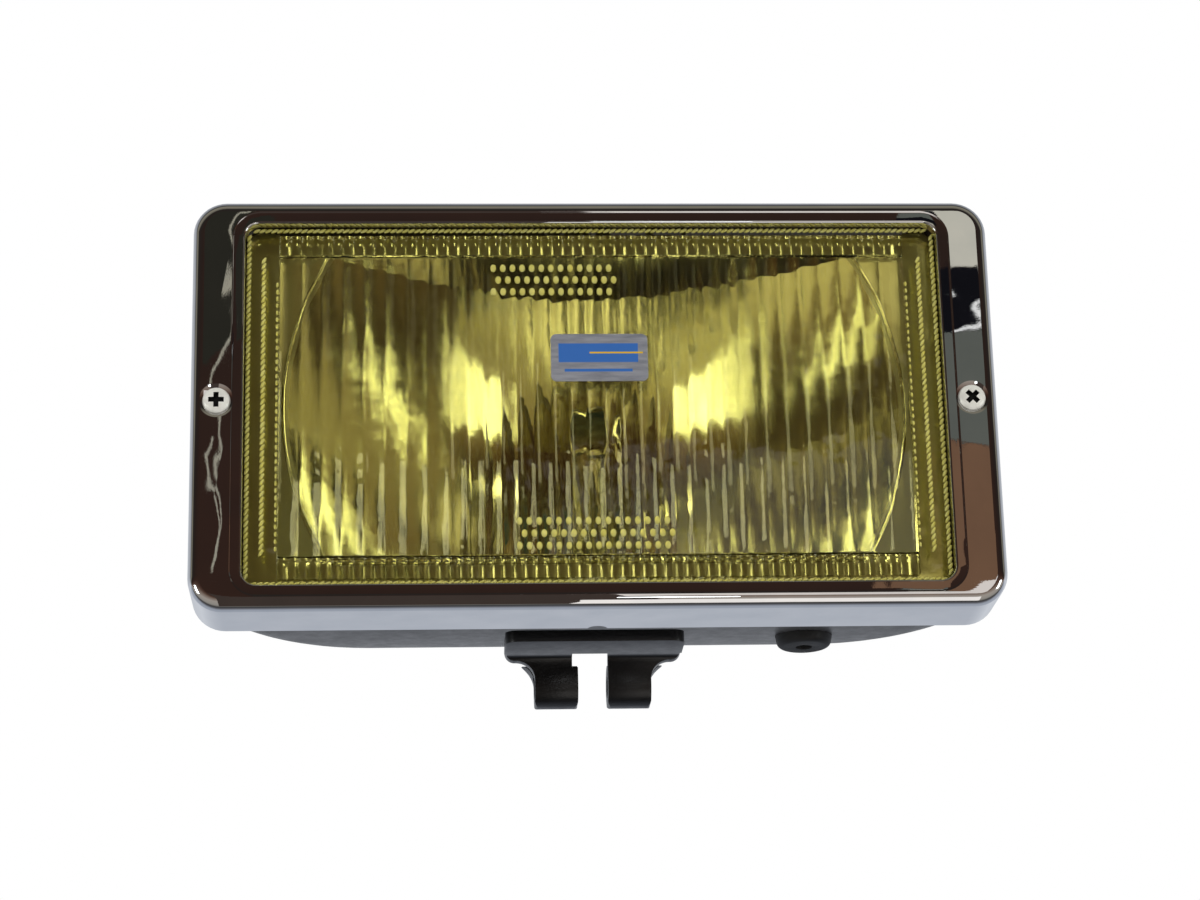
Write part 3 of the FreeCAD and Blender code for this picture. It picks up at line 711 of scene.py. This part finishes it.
def make_rim(plate):
    """Rolled edge where the dish meets its flange: two arcs and two straight runs."""
    rim_r = 83.2
    reach = 43.0
    depth = 8.9
    bead_r = 0.55
    clear_selection()
    bpy.ops.mesh.primitive_torus_add(location=at(0, depth, 0), rotation=(math.pi / 2, 0, 0),
                                     major_segments=160, minor_segments=8, major_radius=rim_r * MM,
                                     minor_radius=bead_r * MM)
    arcs = settle("arcs")
    edit(arcs)
    for side in (-1, 1):
        bpy.ops.mesh.select_all(action="SELECT")
        bpy.ops.mesh.bisect(plane_co=at(0, 0, side * reach), plane_no=(0, 0, side), clear_outer=True,
                            use_fill=True)
    done()
    parts = [arcs]
    run = math.sqrt(rim_r ** 2 - reach ** 2)
    for side in (-1, 1):
        clear_selection()
        bpy.ops.mesh.primitive_cylinder_add(vertices=8, radius=bead_r * MM, depth=2 * run * MM,
                                            location=at(0, depth, side * reach),
                                            rotation=(0, math.pi / 2, 0))
        parts.append(settle("run"))
    rim = join("reflector_rim", parts)
    outward(rim)
    smooth(rim, 50)
    dress(rim, plate, "front_unit")
    return rim


def cross_cutter(side, turn):
    """Cross that cuts the hollow in the screw's head."""
    arms = []
    for quarter_turn in (0, 1):
        clear_selection()
        bpy.ops.mesh.primitive_cube_add(size=1, location=at(side * SCREW_X, SCREW_FRONT, 0))
        arm = bpy.context.object
        arm.scale = (4.1 * MM, 3.4 * MM, 1.35 * MM)
        arm.rotation_euler = (0, turn + quarter_turn * math.pi / 2, 0)
        arms.append(settle("arm"))
    boolean(arms[0], arms[1], "UNION")
    return arms[0]


def paint_recess(screw, centre):
    """Gives the second material, a near-black painted shade, to the faces inside the head's cross."""
    recess_front = 0.3
    recess_back = 1.8
    recess_reach = 2.3
    edit(screw)
    mesh = bmesh.from_edit_mesh(screw.data)
    for face in mesh.faces:
        offset = (face.calc_center_median() - centre) / MM
        inside = math.hypot(offset.x, offset.z) < recess_reach
        face.select = inside and recess_front < offset.y < recess_back
    bmesh.update_edit_mesh(screw.data)
    screw.active_material_index = 1
    bpy.ops.object.material_slot_assign()
    done()


def make_screw(name, side, turn, zinc, recess_shade):
    length = SCREW_END - SCREW_FRONT
    # Domed head, then a thread of plain rings.
    profile = [(0.0, 0.9), (0.05, 1.8), (0.2, 2.6), (0.45, 3.15), (0.8, 3.5), (1.2, SCREW_HEAD_R),
               (1.75, SCREW_HEAD_R), (2.0, SCREW_HEAD_R - 0.2), (2.0, 2.0)]
    crest = 1.98
    root = 1.68
    pitch = 0.7
    distance = 4.2
    while distance < length - 1.6:
        profile += [(distance, crest), (distance + pitch / 2, root)]
        distance += pitch
    profile += [(distance, 1.95), (length, 1.2)]
    centre = at(side * SCREW_X, SCREW_FRONT, 0)
    screw = turned(name, centre, (0, 1, 0), profile)
    boolean(screw, cross_cutter(side, turn))
    smooth(screw, 35)
    dress(screw, zinc, "front_unit")
    # The second slot holds the near-black painted shade for the inside of the cross.
    screw.data.materials.append(recess_shade)
    paint_recess(screw, centre)
    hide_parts("bezel_screws")
    return screw


def softened(source, name, width, body, paint):
    """Copy of a frame node with its sharp edges broken."""
    clear_selection()
    copy = NODES[source].copy()
    copy.data = NODES[source].data.copy()
    for key in list(copy.keys()):
        del copy[key]
    copy.parent = None
    bpy.context.scene.collection.objects.link(copy)
    activate(copy)
    copy.name = name
    copy.data.name = name
    edit(copy)
    bpy.ops.mesh.select_all(action="SELECT")
    bpy.ops.mesh.customdata_custom_splitnormals_clear()
    bpy.ops.mesh.remove_doubles(threshold=0.004 * MM)
    bpy.ops.mesh.dissolve_limited(angle_limit=math.radians(1.0))
    done()
    apply_modifier(copy, "BEVEL", width=width * MM, segments=3, limit_method="ANGLE",
                   angle_limit=math.radians(50))
    smooth(copy, 35)
    dress(copy, paint, body)
    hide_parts(source)
    return copy


def repaint(names, mat):
    for name in names:
        data = NODES[name].data
        data.materials.clear()
        data.materials.append(mat)


# ---- studio -------------------------------------------------------------------------
def glow_card(name, centre, size, turn, colour, strength):
    """Flat card that only mirrors and glass see."""
    clear_selection()
    bpy.ops.mesh.primitive_plane_add(size=1, location=centre, rotation=turn)
    card = bpy.context.object
    card.scale = (size[0], size[1], 1)
    card = settle(name)
    mat = bpy.data.materials.new(name)
    mat.use_nodes = True
    tree = mat.node_tree
    tree.nodes.clear()
    glow = node(tree, "ShaderNodeEmission", Strength=strength)
    glow.inputs["Color"].default_value = (*colour, 1)
    end = node(tree, "ShaderNodeOutputMaterial")
    wire(tree, glow, "Emission", end, "Surface")
    card.data.materials.append(mat)
    card.visible_camera = False
    card.visible_diffuse = False
    card.visible_shadow = False
    return card


FLOOR_DROP = 0.26


def make_floor():
    clear_selection()
    bpy.ops.mesh.primitive_plane_add(size=8, location=(0, 0, cad_box[0][2] - FLOOR_DROP))
    floor = settle("floor")
    mat, tree, shader = material("pale floor", Roughness=0.6)
    cloud = noise(tree, 6, 3)
    tint = ramp(tree, cloud, "Fac", [(0.3, grey(0.78)), (0.7, grey(0.82))])
    wire(tree, tint, "Color", shader, "Base Color")
    floor.data.materials.append(mat)
    floor.visible_glossy = False
    floor.visible_transmission = False


# Room colours by turn about the left-right axis: 0 is level in front, 90 overhead, -90 below.
ROOM = [(-180, (0.62, 0.65, 0.70)), (-158, (0.39, 0.42, 0.48)), (-120, (0.34, 0.37, 0.43)),
        (-96, (0.10, 0.10, 0.11)), (-82, (0.04, 0.04, 0.04)), (-62, (0.30, 0.28, 0.25)),
        (-30, (0.36, 0.32, 0.28)), (-8, (0.20, 0.15, 0.12)), (4, (0.09, 0.050, 0.036)),
        (14, (0.036, 0.018, 0.013)), (24, (0.024, 0.015, 0.012)), (42, (0.022, 0.020, 0.018)),
        (52, (0.17, 0.155, 0.12)), (72, (0.24, 0.22, 0.17)), (84, (0.03, 0.03, 0.03)),
        (110, (0.30, 0.31, 0.33)), (180, (0.62, 0.65, 0.70))]


def make_room():
    """Pale backdrop for the camera, and the room that the chrome and the dish mirror."""
    world = bpy.data.worlds.new("studio")
    world.use_nodes = True
    tree = world.node_tree
    tree.nodes.clear()
    place = node(tree, "ShaderNodeTexCoord")
    split = node(tree, "ShaderNodeSeparateXYZ")
    wire(tree, place, "Generated", split, "Vector")
    ahead = node(tree, "ShaderNodeMath", operation="MULTIPLY")
    wire(tree, split, "Y", ahead, 0)
    ahead.inputs[1].default_value = -1
    turn = node(tree, "ShaderNodeMath", operation="ARCTAN2")
    wire(tree, split, "Z", turn, 0)
    wire(tree, ahead, "Value", turn, 1)
    part = node(tree, "ShaderNodeMapRange", From_Min=-math.pi, From_Max=math.pi)
    wire(tree, turn, "Value", part, "Value")
    stops = [((degrees + 180) / 360, colour) for degrees, colour in ROOM]
    room = ramp(tree, part, "Result", stops)
    mirrored = node(tree, "ShaderNodeBackground", Strength=1.0)
    wire(tree, room, "Color", mirrored, "Color")
    seen = node(tree, "ShaderNodeBackground", Strength=1.0)
    seen.inputs["Color"].default_value = (1, 1, 1, 1)
    rays = node(tree, "ShaderNodeLightPath")
    choice = node(tree, "ShaderNodeMixShader")
    plain = node(tree, "ShaderNodeMath", operation="MAXIMUM")
    wire(tree, rays, "Is Camera Ray", plain, 0)
    wire(tree, rays, "Is Diffuse Ray", plain, 1)
    wire(tree, plain, 0, choice, 0)
    wire(tree, mirrored, 0, choice, 1)
    wire(tree, seen, 0, choice, 2)
    end = node(tree, "ShaderNodeOutputWorld")
    wire(tree, choice, 0, end, "Surface")
    bpy.context.scene.world = world


def make_lights():
    # Each lamp: its name, place, width in metres and power in watts.
    lamps = [("key", (-0.9, -1.3, 1.5), 0.9, 14), ("fill", (1.1, -1.0, 0.7), 0.7, 5)]
    for name, place, size, power in lamps:
        light = bpy.data.lights.new(name, "AREA")
        light.size = size
        light.energy = power
        lamp = bpy.data.objects.new(name, light)
        lamp.location = place
        aim = Vector((0, 0, OPTIC_Z)) - Vector(place)
        lamp.rotation_euler = aim.to_track_quat("-Z", "Y").to_euler()
        lamp.visible_glossy = False
        bpy.context.scene.collection.objects.link(lamp)
    bpy.context.scene.view_settings.view_transform = "Standard"


def make_cards():
    """What the bezel and the dish mirror. Each card: name, centre, size, turn, colour, strength."""
    facing = (math.pi / 2, 0, 0)
    slope = (math.radians(131.5), 0, 0)
    from_left = (math.pi / 2, 0, math.radians(-57))
    from_right = (math.pi / 2, 0, math.radians(57))
    olive = (0.34, 0.32, 0.25)
    daylight = (0.95, 1.0, 1.0)
    # Strips that run as wavy streaks down the left bar.
    glow_card("streak_outer", (-0.202, -1.5, 0.494), (0.004, 0.084), (math.pi / 2, -0.12, 0), olive, 1.0)
    glow_card("streak_inner", (-0.186, -1.5, 0.600), (0.004, 0.30), (math.pi / 2, 0.06, 0), olive, 1.0)
    glow_card("left_dark", (-0.20, -1.52, 0.74), (0.10, 0.22), facing, (0.022, 0.021, 0.016), 1.0)
    # What the right bar shows, from its top down.
    glow_card("beige_panel", (0.41, -1.5, 0.735), (0.13, 0.10), facing, (0.54, 0.52, 0.44), 1.0)
    glow_card("dark_panel", (0.40, -1.5, 0.662), (0.16, 0.044), facing, (0.006, 0.006, 0.008), 1.0)
    glow_card("thin_line", (0.385, -1.49, 0.640), (0.06, 0.005), facing, (0.8, 0.8, 0.78), 1.0)
    glow_card("green_panel", (0.40, -1.5, 0.588), (0.16, 0.104), facing, (0.105, 0.112, 0.098), 1.0)
    glow_card("brown_panel", (0.40, -1.5, 0.470), (0.18, 0.130), facing, (0.16, 0.088, 0.052), 1.0)
    # Lit floor and wall in front, which the bezel's lower roll shows as a pale band.
    glow_card("lit_floor", (0.20, -0.538, -0.687), (0.34, 0.568), slope, (1.0, 0.95, 0.90), 0.95)
    glow_card("pale_wall", (0.33, -1.49, 0.1525), (0.56, 0.505), facing, (0.95, 0.88, 0.82), 0.75)
    glow_card("dim_floor", (-0.08, -0.925, -0.25), (0.32, 1.736), slope, (0.42, 0.31, 0.26), 0.12)
    # Small bright lamp and two windows that sparkle in the dish.
    glow_card("flash", (0.09, -0.84, -0.20), (0.07, 0.07), facing, daylight, 5.0)
    glow_card("window_left", (-1.15, -0.75, -0.18), (0.3, 0.4), from_left, daylight, 5.0)
    glow_card("window_right", (1.15, -0.75, -0.18), (0.3, 0.4), from_right, daylight, 4.5)


CAMERA_DISTANCE = 0.8357
CAMERA_PITCH = math.radians(18.5)
CAMERA_YAW = math.radians(3.53)
CAMERA_ROLL = math.radians(-1.41)
FOCAL_MM = 94.9
AIM_RIGHT = 0.5
AIM_DROP = 14.4


def make_camera():
    data = bpy.data.cameras.new("camera")
    data.sensor_width = 36
    data.lens = FOCAL_MM
    data.clip_start = 0.01
    camera = bpy.data.objects.new("camera", data)
    forward = Vector((math.sin(CAMERA_YAW) * math.cos(CAMERA_PITCH),
                      math.cos(CAMERA_YAW) * math.cos(CAMERA_PITCH), math.sin(CAMERA_PITCH)))
    level = Vector((math.cos(CAMERA_YAW), -math.sin(CAMERA_YAW), 0))
    rise = level.cross(forward)
    right = math.cos(CAMERA_ROLL) * level + math.sin(CAMERA_ROLL) * rise
    up = math.cos(CAMERA_ROLL) * rise - math.sin(CAMERA_ROLL) * level
    place = at(AIM_RIGHT, 0, -AIM_DROP) - forward * CAMERA_DISTANCE
    turn = Matrix((right, up, -forward)).transposed()
    camera.matrix_world = Matrix.Translation(place) @ turn.to_4x4()
    bpy.context.scene.collection.objects.link(camera)
    bpy.context.scene.camera = camera


# ---- build --------------------------------------------------------------------------
make_camera()
make_floor()
make_room()
make_lights()
make_cards()

chrome = chrome_material()
glass = lens_material()
bead_glass = bead_material()
zinc = plated_material("bright zinc", (0.74, 0.73, 0.66), (0.90, 0.89, 0.82), 0.35, 0.55)
zinc.node_tree.nodes["Principled BSDF"].inputs["Metallic"].default_value = 0.45
# Near-black painted shade for the faces inside the screw heads' cross, standing in for the shadow there.
recess_shade = plain_material("screw recess", (0.002, 0.002, 0.002), (0.010, 0.010, 0.009), 0.8, 900)
rim_plate = plated_material("rolled rim", (0.86, 0.86, 0.84), (0.95, 0.95, 0.93), 0.12, 0.3)
black = paint_material("black bracket enamel", (0.001, 0.001, 0.001), (0.004, 0.004, 0.005), 0.28, 0.42, 0.1)
dark_grey = paint_material("dark grey enamel", (0.036, 0.037, 0.040), (0.056, 0.057, 0.060), 0.35, 0.55, 0.2)
rubber = rubber_material()
plated = plated_material("zinc plate", (0.50, 0.50, 0.48), (0.70, 0.70, 0.67))
spring = plated_material("spring steel", (0.38, 0.38, 0.39), (0.58, 0.58, 0.58), 0.18, 0.35)
nickel = plated_material("nickel plate", (0.60, 0.58, 0.54), (0.80, 0.78, 0.74), 0.12, 0.3)
brass = plated_material("brass", (0.60, 0.44, 0.18), (0.78, 0.62, 0.30))
ceramic = plain_material("fired ceramic", (0.62, 0.58, 0.50), (0.80, 0.76, 0.68), 0.55)
insulation = plain_material("lead insulation", (0.02, 0.02, 0.022), (0.05, 0.05, 0.052), 0.45)
nylon = plain_material("nylon sleeve", (0.70, 0.68, 0.60), (0.84, 0.82, 0.75), 0.35)
fibre = plain_material("red fibre", (0.28, 0.05, 0.03), (0.45, 0.11, 0.06), 0.7)

make_bezel(chrome)
make_field(glass)
make_border(glass)
make_bands(glass)
make_ropes(bead_glass)
make_dots(bead_glass)
make_rim(rim_plate)
make_screw("bezel_screw_left", -1, 0.0, zinc, recess_shade)
make_screw("bezel_screw_right", 1, math.pi / 4, zinc, recess_shade)
bracket = softened("pivot_bracket", "bracket", 0.5, "housing", black)
bracket.visible_glossy = False
softened("grommet", "cable_grommet", 0.5, "housing", rubber)

repaint(["foil_label"], label_material(*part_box("foil_label")))
repaint(["reflector"], mirror_material())
repaint(["housing_shell"], dark_grey)
repaint(["lens_gasket", "housing_seal"], rubber)
repaint(["bulb_shield", "bulb_base", "bulb_filament"], nickel)
repaint(["bulb_glass"], quartz_material())
repaint(["bulb_insulator"], ceramic)
repaint(["bulb_lead"], insulation)
repaint(["lead_connector"], nylon)
repaint(["lead_socket"], brass)
repaint(["lead_clip", "clip_pivot", "clip_catch", "clip_rivets", "screw_nuts", "bracket_stiffener"], plated)
repaint(["bulb_clip", "retaining_clips"], spring)
repaint(["screw_washers"], fibre)
